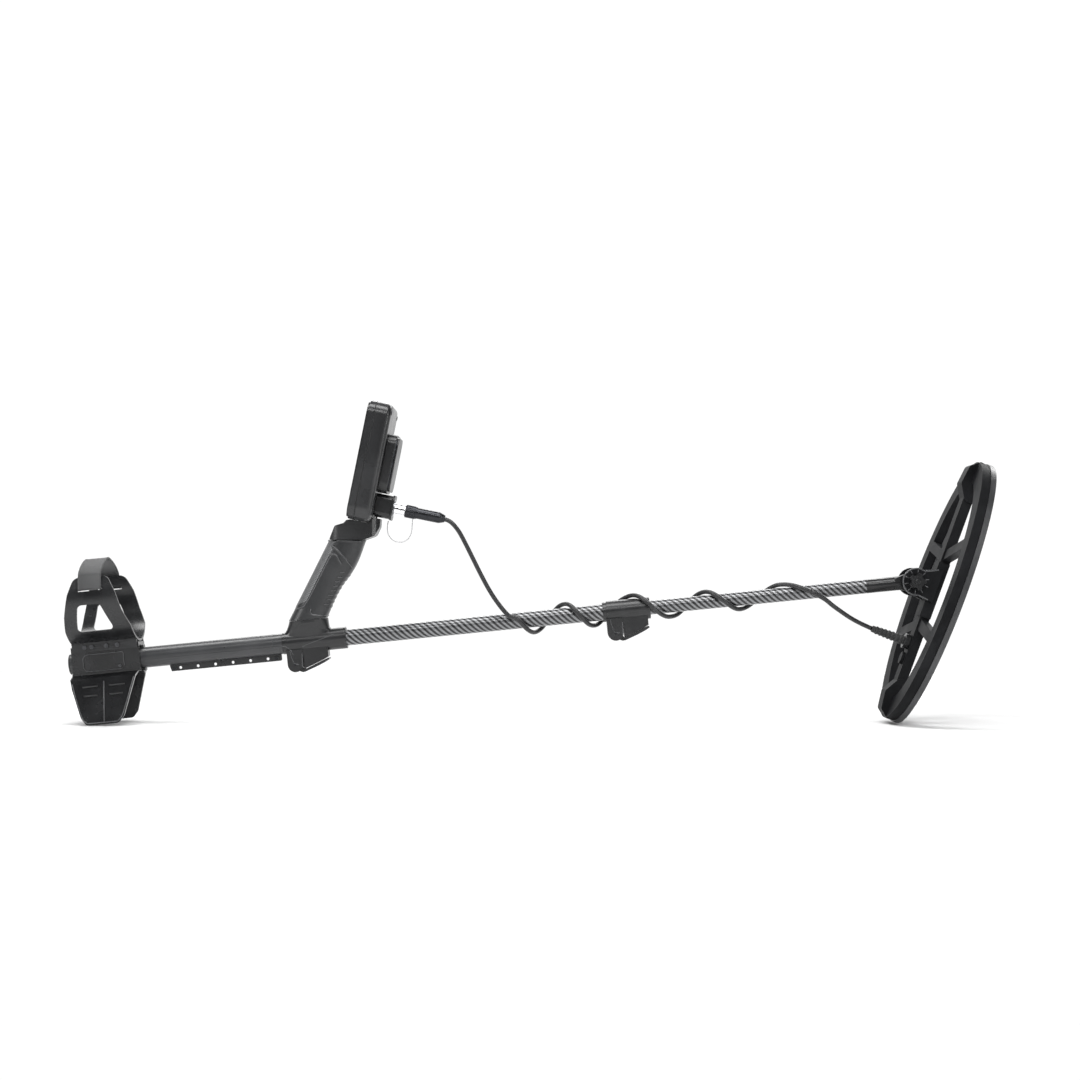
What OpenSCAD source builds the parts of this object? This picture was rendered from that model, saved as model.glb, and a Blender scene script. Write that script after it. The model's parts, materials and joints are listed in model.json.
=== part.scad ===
// Metal detector: telescoping three-section shaft with an armrest, a pistol grip,
// a control box and an oval search coil. Millimetres, +X forward, +Z up.
// It stands on the two legs of its armrest and on the lower tip of its coil.

/* [Shaft] */
// Slope of the shaft when the detector stands on its legs and its coil, degrees
shaft_tilt = 5.62; // [5.4:0.01:5.8]
// Outer diameter of the rear tube
rear_tube_d = 23; // [22.5:0.1:23.5]
// Outer diameter of the middle tube
middle_tube_d = 18; // [17.9:0.02:18.04]
// Outer diameter of the lower tube
lower_tube_d = 15.5; // [15.3:0.02:15.54]
// Where the lower tube ends, measured along the shaft from its rear end
lower_tube_end = 886; // [880:1:895]
// Where the coil's pivot is, measured along the shaft
pivot_s = 940; // [936:1:944]

/* [Coil] */
// Length of the skid cover's oval
coil_l = 304; // [296:1:306]
// Width of the skid cover's oval
coil_w = 230; // [220:1:240]
// Angle between the coil's long axis and the floor, degrees
coil_lean = 69.9; // [69:0.1:71]
// Thickness of the coil's rim
rim_h = 16; // [14:0.5:17]

/* [Control box] */
// Height of the control box
pod_h = 132; // [128:1:136]
// Width of the control box
pod_w = 92; // [88:1:98]
// Depth of the control box without the cover on its back
pod_d = 27; // [26:0.5:28]
// How far the control box leans forward from upright, degrees
pod_lean = 11.4; // [10:0.1:13]

/* [Armrest] */
// Radius of the forearm cradle
cuff_r = 51; // [48:1:54]
// Thickness of the cradle's wall
cuff_wall = 2.6; // [2:0.1:3]
// Height of the legs below the shaft's axis
leg_depth = 67.2; // [66:0.1:68]

/* [Cable] */
// Diameter of the coil cable
cable_d = 5; // [4.6:0.1:5.2]
// Diameter of the cap's tether
tether_d = 1.2; // [1:0.1:1.4]

/* [Hidden] */
$fn = 48;

plastic = "#2b2c2e";
dark = "#1c1d1f";
grey = "#3a3b3d";
steel = "#b9bbbe";
carbon = "#26282b";

// The rear end of the shaft's axis
tail_x = -509.5;
tail_z = 65;

// Shaft: tubes, bores and running clearance
slip = 0.07;
rear_r = rear_tube_d / 2;
mid_r = middle_tube_d / 2;
low_r = lower_tube_d / 2;
neck_r = 10.5;
rear_bore_r = 9.6;
mid_bore_r = 8;
step_s = 236;
sleeve_end = 307;
mid_start = 185;
mid_end = 612;
low_start = 520;

// Cam locks: both have the same shape, set out from the pin
front_pin_s = 604.5;
rear_pin_s = 248.5;
pin_t = -24;
pin_r = 1.5;
cheek_r = 8.6;
cam_r = 6.3;
block_t = -17.5;
block_half = 9.5;
wedge_s = 9.4;

// Armrest
cuff_t = 70;
saddle_half = 16;
saddle_s = [4, 79];
screw_s = [20, 28, 44, 56];

// Grip: its foot on the shaft and its lean from the shaft's normal
grip_foot = [268, 27];
grip_lean = 32.3;
grip_l = 95;
seam_t = 24;
foot_s = 266.8;
collar_z = 203.4;

// Control box: its middle, and the row of the plug on its back
pod_x = -175.5;
pod_z = 289;
split_x = -4.5;
under_x = pod_d / 2 + 0.4;
under_z = pod_h / 2 + 0.4;
wall = 2.2;
plug_z = -45;
plug_s = [34, 46.5, 57.6, 91];
key_travel = 0.8;

// Coil: the pivot seen from the middle of the underside
pivot_a = 2;
pivot_h = 36;
gland_a = -63;
spoke_a = 39;
ear_in = 11;
ear_out = 16;
relief_h = [24.6, 62];

// Cable. The free end runs from the plug to the middle tube, in X, Y, Z.
free_route = [
  [-97, 0, 226.6], [-92, 0, 225.3], [-86, -1, 221], [-79, -2, 212], [-72, -3, 199],
  [-64, -4, 183], [-56, -6, 167], [-48, -8, 152], [-40, -10, 139], [-31, -12, 127],
  [-23, -13, 119]
];
// The wraps round the tubes: place along the shaft, turn in degrees, radius
wrap_marks = [
  [496, 70, 13.6], [515, 180, 14.6], [552, 360, 13.4], [581, 540, 13.6], [597, 622, 15.2],
  [628, 720, 15.6], [648, 810, 15], [669, 900, 12], [708, 1080, 11.6], [745, 1260, 11.4],
  [792, 1440, 11.4], [824, 1530, 11.6]
];
ring_turn = 30;
// The tail runs from the lower tube to the strain relief, in X, Y, Z
tail_route = [
  [325, -11, 138], [334, -9.5, 131], [344, -7, 124], [354, -4, 117.5], [365, -1.5, 111.5]
];
// The tether hangs from the socket's lip to the plug's backshell, in X, Y, Z
tether_route = [
  [-158, 0, 224.5], [-159, 0, 218], [-158.5, 0, 211], [-155, 0, 205], [-149.5, 0, 201.6],
  [-143.5, 0, 201], [-138, 0, 203], [-134, 0, 207.5], [-132, 0, 213.5], [-131.4, 0, 220],
  [-131, 0, 226.4]
];

// --- Shared shapes and places ---

function unit(v) = v / norm(v);
function wrap_angle(a) = a - 360 * floor((a + 180) / 360);
function angle_of(v) = atan2(v[1], v[0]);
function mix(a, b, f) = a + (b - a) * f;

// The arc that rounds the corner p1 between p0 and p2
function fillet(p0, p1, p2, r, n) =
  let (u = unit(p0 - p1), v = unit(p2 - p1), half = acos(u * v) / 2)
  let (c = p1 + unit(u + v) * r / sin(half), d = r / tan(half))
  let (a = angle_of(p1 + u * d - c), turn = wrap_angle(angle_of(p1 + v * d - c) - a))
  [for (i = [0:n]) c + r * [cos(a + turn * i / n), sin(a + turn * i / n)]];

// An outline with every corner rounded
function rounded(p, r, n = 4) =
  let (k = len(p))
  [for (i = [0:k - 1])
    each fillet(p[(i + k - 1) % k], p[i], p[(i + 1) % k], is_list(r) ? r[i] : r, n)];

module rounded_rect(w, h, r) {
  polygon(rounded([[-w / 2, -h / 2], [w / 2, -h / 2], [w / 2, h / 2], [-w / 2, h / 2]], r, 5));
}

function ellipse(a, b, n = 72) = [for (i = [0:n - 1]) [a * cos(360 * i / n), b * sin(360 * i / n)]];

// Extrude an outline drawn in Y, Z along X, or one drawn in X, Z along Y
module along_x(x0, x1) translate([x0, 0, 0]) rotate([90, 0, 90]) linear_extrude(x1 - x0) children();
module along_y(y0, y1) translate([0, y1, 0]) rotate([90, 0, 0]) linear_extrude(y1 - y0) children();

// Round bars along X and along Y
module rod(x0, x1, r) translate([x0, 0, 0]) rotate([0, 90, 0]) cylinder(h = x1 - x0, r = r);
module pin(x, z, y0, y1, r) translate([x, y1, z]) rotate([90, 0, 0]) cylinder(h = y1 - y0, r = r);
module both_sides() {
  children();
  mirror([0, 1, 0]) children();
}

module at_shaft() translate([tail_x, 0, tail_z]) rotate([0, -shaft_tilt, 0]) children();
module at_pod() translate([pod_x, 0, pod_z]) rotate([0, pod_lean, 0]) children();
module at_grip() at_shaft() translate([grip_foot[0], 0, grip_foot[1]]) rotate([0, grip_lean, 0]) children();
module at_coil() {
  at_shaft() translate([pivot_s, 0, 0]) rotate([0, shaft_tilt - coil_lean, 0])
    translate([-pivot_a, 0, -pivot_h]) children();
}

function shaft_point(s, y, t) = [
  tail_x + s * cos(shaft_tilt) - t * sin(shaft_tilt),
  y,
  tail_z + s * sin(shaft_tilt) + t * cos(shaft_tilt)
];

// A round cord swept along a route, with the direction of each end given
function headings(p, ends) = let (k = len(p) - 1)
  [for (i = [0:k]) i == 0 ? ends[0] : i == k ? ends[1] : unit(p[i + 1] - p[i - 1])];
function sides_of(along, i, m) =
  let (t = along[i], n = unit(m - (m * t) * t))
  i == len(along) - 1 ? [n] : concat([n], sides_of(along, i + 1, n));
module cord(route, ends, d, sides) {
  last = len(route) - 1;
  along = headings(route, ends);
  normals = sides_of(along, 0, [0.1, 1, 0.1]);
  rings = [for (i = [0:last]) for (j = [0:sides - 1])
    route[i] + d / 2 * (cos(360 * j / sides) * normals[i]
      + sin(360 * j / sides) * cross(along[i], normals[i]))];
  skin = [for (i = [0:last - 1]) for (j = [0:sides - 1])
    [i * sides + j, (i + 1) * sides + j, (i + 1) * sides + (j + 1) % sides, i * sides + (j + 1) % sides]];
  start_cap = [for (j = [0:sides - 1]) j];
  end_cap = [for (j = [sides - 1:-1:0]) last * sides + j];
  polyhedron(rings, concat([start_cap], skin, [end_cap]));
}

// The wraps as points, a ring every ring_turn degrees
function wrap_leg(a, b) =
  let (n = ceil((b[1] - a[1]) / ring_turn))
  [for (i = [0:n - 1]) mix(a, b, i / n)];
wrap_turns = concat(
  [for (i = [0:len(wrap_marks) - 2]) each wrap_leg(wrap_marks[i], wrap_marks[i + 1])],
  [wrap_marks[len(wrap_marks) - 1]]
);
wrap_route = [for (w = wrap_turns) shaft_point(w[0], -w[2] * sin(w[1]), w[2] * cos(w[1]))];
// How the cable leaves the plug, joins the wraps, leaves them and enters the strain relief
plug_way = [cos(pod_lean), 0, -sin(pod_lean)];
first_wrap = wrap_route[0];
last_wrap = wrap_route[len(wrap_route) - 1];
join_way = unit(wrap_route[1] - free_route[len(free_route) - 1]);
leave_way = unit(tail_route[0] - wrap_route[len(wrap_route) - 2]);
relief_way = [sin(coil_lean), 0, -cos(coil_lean)];
// Where the strain relief lets the cable go
relief_tip = shaft_point(pivot_s, 0, 0)
  + (gland_a - pivot_a) * [cos(coil_lean), 0, sin(coil_lean)]
  + (relief_h[1] - pivot_h) * [-sin(coil_lean), 0, cos(coil_lean)];

// --- Rear tube ---

module rear_tube() color(grey) at_shaft() difference() {
  union() {
    rod(0, step_s, rear_r);
    rod(step_s - 1, sleeve_end - 3, neck_r);
  }
  rod(-1, 270, rear_bore_r);
  rod(269, sleeve_end, mid_r + slip);
  both_sides() translate([82, rear_r - 0.4, -2.6]) cube([152, 2, 1.1]);
  translate([rear_pin_s - 5.5, -4, -14]) cube([11, 8, 8]);
}

module rear_tube_end_cap() color(dark) at_shaft() {
  rod(-1.5, -0.1, rear_r - 0.2);
  rod(-0.2, 7, rear_bore_r - 0.05);
}

module accessory_rail() color(dark) at_shaft() difference() {
  along_y(-1.5, 1.5)
    polygon(rounded([[110, -18.4], [233, -18.4], [233, -10.6], [108, -10.6]], 1.6));
  rod(90, 240, rear_r + 0.05);
  for (i = [0:5]) pin(120 + 19.5 * i, -15, -3, 3, 1.6);
}

// Two screws hold the rail from inside the tube's wall
module rail_screws() color(steel) at_shaft()
  for (s = [113.5, 227]) translate([s, 0, -15.2]) {
    pin(0, 0, 1.55, 2.6, 2);
    pin(0, 0, -2.6, -1.55, 2);
  }

// --- Handle, and the cam locks that share one shape ---

// The block runs out to a wedge in front, over the blade of the lever
module lock_block(s, rear) {
  along_x(s - rear, s + wedge_s + 0.1) polygon(rounded([
    [-block_half, block_t], [block_half, block_t], [block_half, -4], [-block_half, -4]
  ], 2));
  along_y(-block_half, block_half) polygon([
    [s + wedge_s, -4], [s + 37, -4], [s + 37, -18.4], [s + 31, -21.3], [s + 23.2, -24.4],
    [s + wedge_s, -29.5]
  ]);
  both_sides() along_y(7, 10.5)
    polygon([
      [s - cheek_r, -8], [s - cheek_r, pin_t],
      for (i = [0:10]) [s - cheek_r * cos(18 * i), pin_t - cheek_r * sin(18 * i)],
      [s + cheek_r, -8]
    ]);
}

// Room in a lock for its cam, its pad and its pin
module lock_room(s) {
  translate([s - 5.5, -4, block_t - 1]) cube([11, 8, 14]);
  translate([s - 8, -6.8, pin_t - 7]) cube([17, 13.6, 13.6]);
  pin(s, pin_t, -12, 12, pin_r + 0.03);
}

module lock_lever(s) difference() {
  union() {
    pin(s, pin_t, -6.5, 6.5, cam_r);
    along_y(-6.5, 6.5) polygon([
      [s, pin_t - cam_r], [s + 7, pin_t - 9.4], [s + 10, pin_t - 8.9], [s + 10, pin_t - 6.4],
      [s + 4, pin_t]
    ]);
    along_y(-block_half, block_half) polygon([
      [s + 9.2, pin_t - 9.2], [s + 24, pin_t - 4], [s + 33, pin_t - 0.2], [s + 38, pin_t + 2.6],
      [s + 37.2, pin_t + 4.2], [s + 31, pin_t + 2.2], [s + 23, pin_t - 1], [s + 9.2, pin_t - 6.2]
    ]);
  }
  pin(s, pin_t, -12, 12, pin_r + 0.05);
}

module lock_pad(s, r) difference() {
  translate([s - 5.2, -3.7, pin_t + cam_r + 0.1]) cube([10.4, 7.4, 10]);
  rod(s - 8, s + 8, r + 0.05);
}

module handle_frame() color(plastic) difference() {
  union() {
    at_shaft() {
      rod(step_s + 0.2, sleeve_end, rear_r + 0.5);
      lock_block(rear_pin_s, cheek_r);
    }
    hull() {
      at_shaft() translate([241, 0, 6]) rotate([0, 90, 0]) cylinder(h = 48, r = 5);
      at_shaft() translate([foot_s, 0, seam_t - 3]) linear_extrude(3) rounded_rect(43, 30.6, 14);
    }
    at_grip() translate([0, 0, -6]) linear_extrude(grip_l + 14) rounded_rect(25, 19, 9);
  }
  at_shaft() {
    rod(step_s - 1, sleeve_end - 2.8, neck_r + 0.03);
    rod(sleeve_end - 3, sleeve_end + 1, mid_r + slip);
    lock_room(rear_pin_s);
  }
}

// Everything above the level line where the grip meets the neck
module over_grip() translate([-320, -60, collar_z - 0.3]) cube([200, 120, 60]);

// Finger ribs run across the front of the grip
module grip_rubber() color(plastic) difference() {
  at_grip() difference() {
    union() {
      translate([0, 0, -20]) linear_extrude(grip_l + 30) rounded_rect(37, 31, 14);
      translate([1.5, 0, 62]) linear_extrude(22) rounded_rect(38, 31, 14);
    }
    translate([0, 0, -6.1]) linear_extrude(grip_l + 20) rounded_rect(25.1, 19.1, 9);
    translate([-19, -11, 2]) cube([4.3, 22, 106]);
    for (z = [22:12:58]) translate([20.4, 0, z]) rotate([90, 0, 0]) cylinder(h = 40, r = 3.4, center = true);
  }
  over_grip();
  at_shaft() translate([200, -60, 0]) cube([150, 120, seam_t + 0.3]);
}

module grip_back_insert() color("#4a4b4d") difference() {
  at_grip() difference() {
    translate([0, 0, 2.1]) linear_extrude(grip_l + 5) rounded_rect(36.6, 31, 14);
    translate([-14.8, -20, 0]) cube([50, 40, 120]);
    both_sides() translate([-30, 10.9, 0]) cube([40, 20, 120]);
  }
  over_grip();
}

// The neck carries the control box on the top of the grip and closes in under it
module neck_collar() color(plastic) difference() {
  intersection() {
    along_y(-20, 20) polygon(rounded([
      [-222.9, collar_z], [-216, 219.1], [-206, 221.9], [-203, 225.2], [-165.2, 232],
      [-166.4, 217.8], [-171.8, 207.6], [-184, collar_z]
    ], [1, 3, 3, 1, 1, 8, 6, 3]));
    translate([-194, 0, 180]) linear_extrude(60) rounded_rect(60, 37, 15);
  }
  at_pod() along_y(-60, 60) polygon(rounded([
    [-under_x, -under_z], [under_x, -under_z], [under_x, 0], [-under_x, 0]
  ], [2, 6, 1, 1]));
  at_pod() along_x(0, 40) translate([0, plug_z]) rounded_rect(33, 29, 1);
  at_grip() linear_extrude(grip_l + 8.2) rounded_rect(25.2, 19.2, 9);
  at_pod() both_sides() translate([-2, 10, -pod_h / 2]) {
    translate([0, 0, -20]) cylinder(h = 15, r = 2.7);
    translate([0, 0, -6]) cylinder(h = 8, r = 1.55);
  }
}

module neck_screws() color(steel) at_pod()
  both_sides() translate([-2, 10, -pod_h / 2]) {
    translate([0, 0, -8.1]) cylinder(h = 3, r = 2.6);
    translate([0, 0, -5.2]) cylinder(h = 7, r = 1.5);
  }

module rear_lock_pin() color(steel) at_shaft() pin(rear_pin_s, pin_t, -10.6, 10.6, pin_r);
module rear_lock_pad() color(dark) at_shaft() lock_pad(rear_pin_s, mid_r);
module rear_lock_lever() color(plastic) at_shaft() lock_lever(rear_pin_s);

// --- Control box ---

window_z = 17;
window = [66, 72];
key_places = [[-26, -34, 7], [26, -34, 7], [-26, -52, 7], [26, -52, 7], [0, -43, 11]];

module pod_slab(x0, x1, inset) along_x(x0, x1)
  rounded_rect(pod_w - 2 * inset, pod_h - 2 * inset, 15 - inset);

module pod_front_cover() color(plastic) at_pod() difference() {
  union() {
    difference() {
      union() {
        pod_slab(-pod_d / 2 + 2, split_x - 0.6, 0);
        pod_slab(-pod_d / 2, -pod_d / 2 + 2.1, 2);
      }
      pod_slab(-pod_d / 2 + wall, split_x, wall + 1);
    }
    for (y = [-38, 38], z = [-56, 56]) translate([0, y, z]) rod(-pod_d / 2 + 2, split_x - 0.6, 3);
  }
  for (y = [-38, 38], z = [-56, 56]) translate([0, y, z]) rod(-pod_d / 2 + 4, 5, 1.3);
  translate([-pod_d / 2 - 1, -window[0] / 2, window_z - window[1] / 2]) cube([5, window[0], window[1]]);
  for (k = key_places) translate([-20, k[0], k[1]]) rotate([0, 90, 0]) cylinder(h = 12, r = k[2] + 0.3);
}

module pod_seal() color("#0f1011") at_pod() difference() {
  pod_slab(split_x - 0.55, split_x - 0.05, 0.5);
  pod_slab(split_x - 2, split_x + 2, 3);
}

module pod_back_shell() color(plastic) at_pod() difference() {
  union() {
    pod_slab(split_x, pod_d / 2 - 4, 0);
    pod_slab(pod_d / 2 - 4.1, pod_d / 2 - 1.5, 2);
    pod_slab(pod_d / 2 - 1.6, pod_d / 2, 5);
  }
  pod_slab(split_x - 1, pod_d / 2 - wall, wall + 2.5);
  both_sides() translate([-2, 10, -pod_h / 2 - 1]) cylinder(h = 5, r = 1.55);
  for (y = [-38, 38], z = [-56, 56]) translate([0, y, z]) {
    rod(0, 20, 1.3);
    rod(pod_d / 2 - 1.5, 20, 2.5);
  }
}

module display_window() color("#101418", 0.6) at_pod()
  along_x(-pod_d / 2 + 0.2, -pod_d / 2 + 1.6)
    translate([0, window_z]) rounded_rect(window[0] - 0.3, window[1] - 0.3, 3);

module lcd_panel() color("#20282c") at_pod()
  along_x(-pod_d / 2 + 2.4, -pod_d / 2 + 5.6) translate([0, window_z]) rounded_rect(60, 66, 1);

module main_board() color("#1d4a33") at_pod() difference() {
  along_x(1.4, 3) rounded_rect(74, 110, 6);
  both_sides() for (z = [-50, 50]) translate([0, 32, z]) rod(0, 5, 1.6);
}

module battery_cover() color(plastic) at_pod() difference() {
  union() {
    along_x(pod_d / 2 + 0.1, pod_d / 2 + 10) translate([0, 2]) rounded_rect(58, 65, 12);
    along_x(pod_d / 2 + 9.9, pod_d / 2 + 13) translate([0, 2]) rounded_rect(53, 60, 10);
  }
  along_x(pod_d / 2, pod_d / 2 + 11) translate([0, 2]) rounded_rect(53, 58, 8);
}

module battery_cell() color("#6b6f75") at_pod()
  along_x(pod_d / 2 + 0.6, pod_d / 2 + 10.4) translate([0, 2]) rounded_rect(50, 55, 6);

module speaker() color("#3c3d40") at_pod() translate([3.6, 0, -40]) rotate([0, 90, 0]) {
  cylinder(h = 2, r = 13);
  translate([0, 0, 1.9]) cylinder(h = 4, r = 9);
}

module keypad_mat() color("#141516") at_pod() along_x(-8.4, -7.4)
  translate([0, -43]) rounded_rect(62, 34, 4);

// A key: a round cap through the front cover, with a lip behind it
module key(i) {
  place = key_places[i];
  color(grey) at_pod() translate([0, place[0], place[1]]) rotate([0, 90, 0]) {
    translate([0, 0, -pod_d / 2 - 1.3]) cylinder(h = 4, r = place[2]);
    translate([0, 0, -pod_d / 2 + 2.5]) cylinder(h = 1, r = place[2] + 0.9);
  }
}
module key_power() key(0);
module key_menu() key(1);
module key_minus() key(2);
module key_plus() key(3);
module key_pinpoint() key(4);

module pod_screws() color(steel) at_pod()
  for (y = [-38, 38], z = [-56, 56]) translate([0, y, z]) {
    rod(-8, pod_d / 2 - 1.4, 1.25);
    rod(pod_d / 2 - 1.45, pod_d / 2 + 0.4, 2.4);
  }

// --- Plug and socket on the back of the control box ---

module at_plug() at_pod() translate([0, 0, plug_z]) children();

module socket_housing() color(plastic) at_plug() difference() {
  union() {
    along_x(pod_d / 2 + 0.1, 32) translate([0, 0.2]) rounded_rect(28, 26, 6);
    along_x(31, 33.4) translate([0, 0.2]) rounded_rect(30.5, 28, 7);
  }
  rod(15.8, 40, 8.1);
}

module coil_socket() color("#8e9195") at_plug() difference() {
  union() {
    rod(16, 33, 8.05);
    rod(33.45, 34, 9.4);
    rod(32.9, 33.6, 8.05);
  }
  rod(30, 40, 4.6);
}

module plug_barrel() color("#d9dadb") at_plug() {
  rod(34.1, plug_s[1] - 0.1, 6.2);
  rod(31, 34.2, 4.5);
  rod(plug_s[1] - 0.2, plug_s[2] + 0.1, 4);
}

module plug_coupling_nut() color(dark) at_plug() difference() {
  rod(plug_s[1], plug_s[2] - 0.1, 7.2);
  rod(plug_s[1] - 1, plug_s[2] + 1, 4.05);
  for (i = [0:17]) rotate([20 * i, 0, 0]) translate([0, 0, 7.4])
    rod(plug_s[1] + 1.5, plug_s[2] - 1.6, 0.7, $fn = 16);
}

module plug_backshell() color(dark) at_plug() {
  rod(plug_s[2] + 0.15, plug_s[2] + 1.8, 6.8);
  rod(plug_s[2] + 1.7, plug_s[3] - 6, 6.2);
  translate([plug_s[3] - 6.1, 0, 0]) rotate([0, 90, 0]) cylinder(h = 6.1, r1 = 6.2, r2 = 4);
}

module cap_tether() color("#9b9da0") cord(tether_route, [[0, 0, -1], [0, 0, 1]], tether_d, 8);

// --- Armrest ---

wing = [
  [6, 21], [5.5, 36], [8, 52], [14, 76], [22, 94.5], [58, 94.5], [66, 76], [71, 56], [77.5, 38], [78.5, 21]
];
leg = [
  [3, -11], [5, -27], [13, -58], [19, -leg_depth], [54, -leg_depth], [60.5, -60], [66, -44], [76, -15],
  [77, -11]
];

module armrest_cuff() color(plastic) at_shaft() difference() {
  union() {
    intersection() {
      difference() {
        translate([0, 0, cuff_t]) rod(0, 90, cuff_r);
        translate([0, 0, cuff_t]) rod(-1, 91, cuff_r - cuff_wall);
      }
      union() {
        along_y(-60, 60) polygon(rounded(wing, [1, 6, 8, 12, 9, 9, 12, 16, 6, 1]));
        translate([5, -30, 18]) cube([73.5, 60, 4]);
      }
    }
    both_sides() translate([6, saddle_half + 0.3, 12.5]) cube([72, 2.2, 12.2]);
  }
  along_y(-60, 60) polygon(rounded([[18.6, 35], [60, 35], [48.5, 64], [24, 64]], [4, 4, 5, 5]));
  translate([26, -60, 78.8]) cube([27, 120, 2.6]);
  for (s = screw_s) pin(s, 17.5, -30, 30, 1.6);
}

module saddle_profile() difference() {
  polygon(rounded([
    [-saddle_half, -13], [-saddle_half + 3, -14], [saddle_half - 3, -14], [saddle_half, -13],
    [saddle_half, 18.4], [-saddle_half, 18.4]
  ], 0.8));
  circle(r = rear_r + 0.09);
}

// One leg as an extrusion of its slanted profile, trimmed to its outline
module leg_plate(out, grow) intersection() {
  along_x(-5, 85) polygon([
    [saddle_half - 3, -9], [saddle_half + out, -8], [saddle_half + out, -13],
    [29 + out, -16.5], [39.5 + out, -leg_depth], [36.5, -leg_depth], [26, -19], [saddle_half - 3, -13]
  ]);
  along_y(0, 60) offset_leg(grow);
}
module offset_leg(grow) difference() {
  polygon(rounded(leg, [1, 10, 20, 5, 5, 10, 24, 6, 1]));
  if (grow > 0) translate([38.5, -38]) scale([1 - grow / 34, 1 - grow / 26])
    translate([-38.5, 38]) polygon(rounded(leg, [1, 10, 20, 5, 5, 10, 24, 6, 1]));
}

module armrest_stand() color(plastic) at_shaft() difference() {
  union() {
    along_x(saddle_s[0], saddle_s[1]) saddle_profile();
    both_sides() {
      leg_plate(0, 0);
      leg_plate(0.9, 1.8);
      intersection() {
        leg_plate(0.9, 0);
        translate([37.8, 0, -66]) cube([1.4, 60, 44]);
      }
    }
    both_sides() along_y(saddle_half - 0.2, saddle_half + 0.7) difference() {
      translate([39, 0]) rounded_rect(46, 20, 5);
      translate([39, 0]) rounded_rect(43.5, 17.5, 4);
    }
  }
  for (s = screw_s) pin(s, 17.5 - 1, -30, 30, 1.2);
  rod(0, 90, rear_r + 0.09);
}

module armrest_screws() color(steel) at_shaft() both_sides() {
  for (s = screw_s) pin(s, 17.5, saddle_half + 2.55, saddle_half + 4, 2.4);
  pin(56.5, -6, saddle_half + 0.05, saddle_half + 1.4, 1.7);
}

// The clamp's lips stand in front of the saddle, over and under the tube
module armrest_clamp_pads() color(dark) at_shaft() {
  difference() {
    rod(saddle_s[1] + 0.1, saddle_s[1] + 3, rear_r + 3.4);
    rod(70, 90, rear_r + 0.1);
    both_sides() translate([70, 5, -30]) cube([20, 20, 60]);
  }
}

// The strap arches over the wings, runs down outside them and turns in at their slots
module arm_strap() color("#3f4042") at_shaft() along_x(27, 52) {
  polygon(concat(
    strap_side(1, 2), backwards(strap_side(-1, 2)), strap_side(-1, 0), backwards(strap_side(1, 0))
  ));
  for (side = [-1, 1]) scale([side, 1]) translate([cuff_r - 5, 79.2]) square([6.8, 1.8]);
}
// Half of the strap's line: round the wing, then leaning in to a short flat top
function strap_side(side, out) = concat(
  [for (a = [10:5:30]) let (r = cuff_r + 0.5 + out) [side * r * cos(a), cuff_t + r * sin(a)]],
  [for (a = [15:15:90]) [side * (44.6 + out) * arch(cos(a)), 95.8 + (17.7 + out) * arch(sin(a))]]
);
function arch(v) = pow(max(v, 0), 2 / 1.4);
function backwards(p) = [for (i = [len(p) - 1:-1:0]) p[i]];

// --- Middle tube and front lock ---

module middle_tube() color(carbon) at_shaft() difference() {
  rod(mid_start, mid_end, mid_r);
  rod(mid_start - 1, mid_end + 1, mid_bore_r);
  translate([front_pin_s - 5.4, -3.9, -14]) cube([10.8, 7.8, 10]);
}

module middle_tube_bush() color("#d8d8d4") at_shaft() difference() {
  rod(mid_start - 4, mid_start + 14, rear_bore_r - slip);
  rod(mid_start - 0.1, mid_start + 20, mid_r + 0.02);
  rod(mid_start - 10, mid_start, mid_bore_r - 1);
}

module front_lock_body() color(plastic) at_shaft() difference() {
  union() {
    rod(592.5, 597, 11);
    rod(597, 645, 12);
    lock_block(front_pin_s, cheek_r - 1);
  }
  rod(580, mid_end + 0.2, mid_r + 0.03);
  rod(mid_end, 660, low_r + slip);
  lock_room(front_pin_s);
}

module front_lock_pin() color(steel) at_shaft() pin(front_pin_s, pin_t, -10.6, 10.6, pin_r);
module front_lock_pad() color(dark) at_shaft() lock_pad(front_pin_s, low_r);
module front_lock_lever() color(plastic) at_shaft() lock_lever(front_pin_s);

// --- Lower tube and its end fitting ---

module lower_tube() color(carbon) at_shaft() difference() {
  rod(low_start, lower_tube_end, low_r);
  rod(low_start - 1, lower_tube_end + 1, low_r - 1);
}

module lower_tube_bush() color("#d8d8d4") at_shaft() difference() {
  rod(low_start - 4, low_start + 12, mid_bore_r - slip);
  rod(low_start - 0.1, low_start + 20, low_r + 0.02);
  rod(low_start - 10, low_start, low_r - 2);
}

module lower_end_fitting() color(plastic) at_shaft() difference() {
  union() {
    rod(lower_tube_end - 30, lower_tube_end + 0.1, low_r - 1.02);
    rod(lower_tube_end + 0.05, 926, low_r);
    pin(pivot_s, 0, -8.7, 8.7, 11.5);
    along_y(-7.6, 7.6) polygon([[918, -6], [pivot_s, -11.5], [pivot_s, 11.5], [918, 6]]);
  }
  pin(pivot_s, 0, -12, 12, 3.05);
}

// --- Search coil, drawn on its own underside ---

module spoke_lines(w) both_sides() for (side = [-1, 1]) {
  a = side * spoke_a;
  polygon([
    [a - w, -2], [a + w, -2], [a + w + side * 14, 84], [a + w + side * 16, 96],
    [a - w + side * 16, 96], [a - w + side * 14, 84]
  ]);
}
module coil_ring(grow) difference() {
  polygon(ellipse(coil_l / 2 - 1.2 + grow, coil_w / 2 - 1.2 + grow));
  polygon(ellipse(coil_l / 2 - 25 - grow, coil_w / 2 - 25 - grow));
}
module coil_bars() intersection() {
  union() {
    translate([-coil_l / 2 + 8, -10]) square([coil_l - 16, 20]);
    spoke_lines(6);
  }
  polygon(ellipse(coil_l / 2 - 8, coil_w / 2 - 8));
}

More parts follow.
